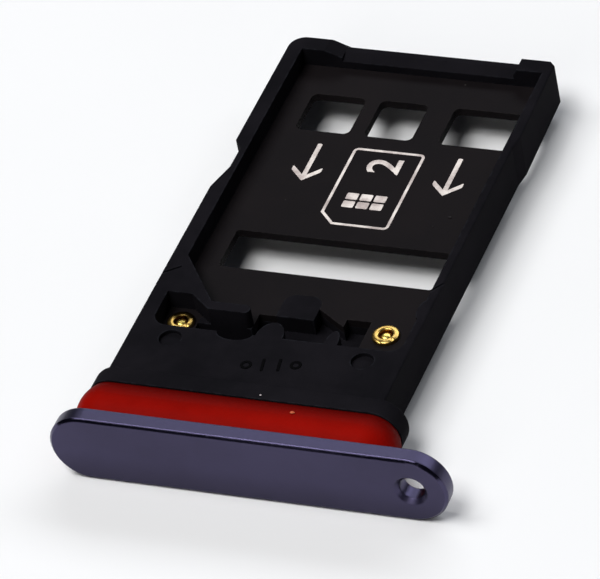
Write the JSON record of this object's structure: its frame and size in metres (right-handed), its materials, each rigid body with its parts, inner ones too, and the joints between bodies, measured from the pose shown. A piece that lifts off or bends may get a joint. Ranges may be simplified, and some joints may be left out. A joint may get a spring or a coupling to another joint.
{
  "type": "sim card tray",
  "caption": "Flat two-sided tray that slides into a phone and holds a small chip card on each face, with a metal end cap, an eject hole and a soft seal.",
  "frame": {"origin": "middle of the bounding box at the height of the lowest edge of the cap", "axes": "+Y along the tray from the cap face to the tip, +Z out of the upper card face, +X to the right seen from the cap, towards the eject hole"},
  "size_m": [0.0144, 0.0216, 0.0027],
  "materials": {
    "cap_metal": "fine bead-blasted violet-grey anodising with a polished bevel",
    "seal_silicone": "satin red silicone",
    "frame_plastic": "fine matt moulded black",
    "divider_coating": "matt black coating on sheet steel",
    "rivet_brass": "bright turned brass"
  },
  "bodies": {
    "root": {"tray_cap": "cap_metal", "seal_ring": "seal_silicone", "tray_frame": "frame_plastic", "divider_plate": "divider_coating", "rivets": "rivet_brass"}
  },
  "joints": []
}
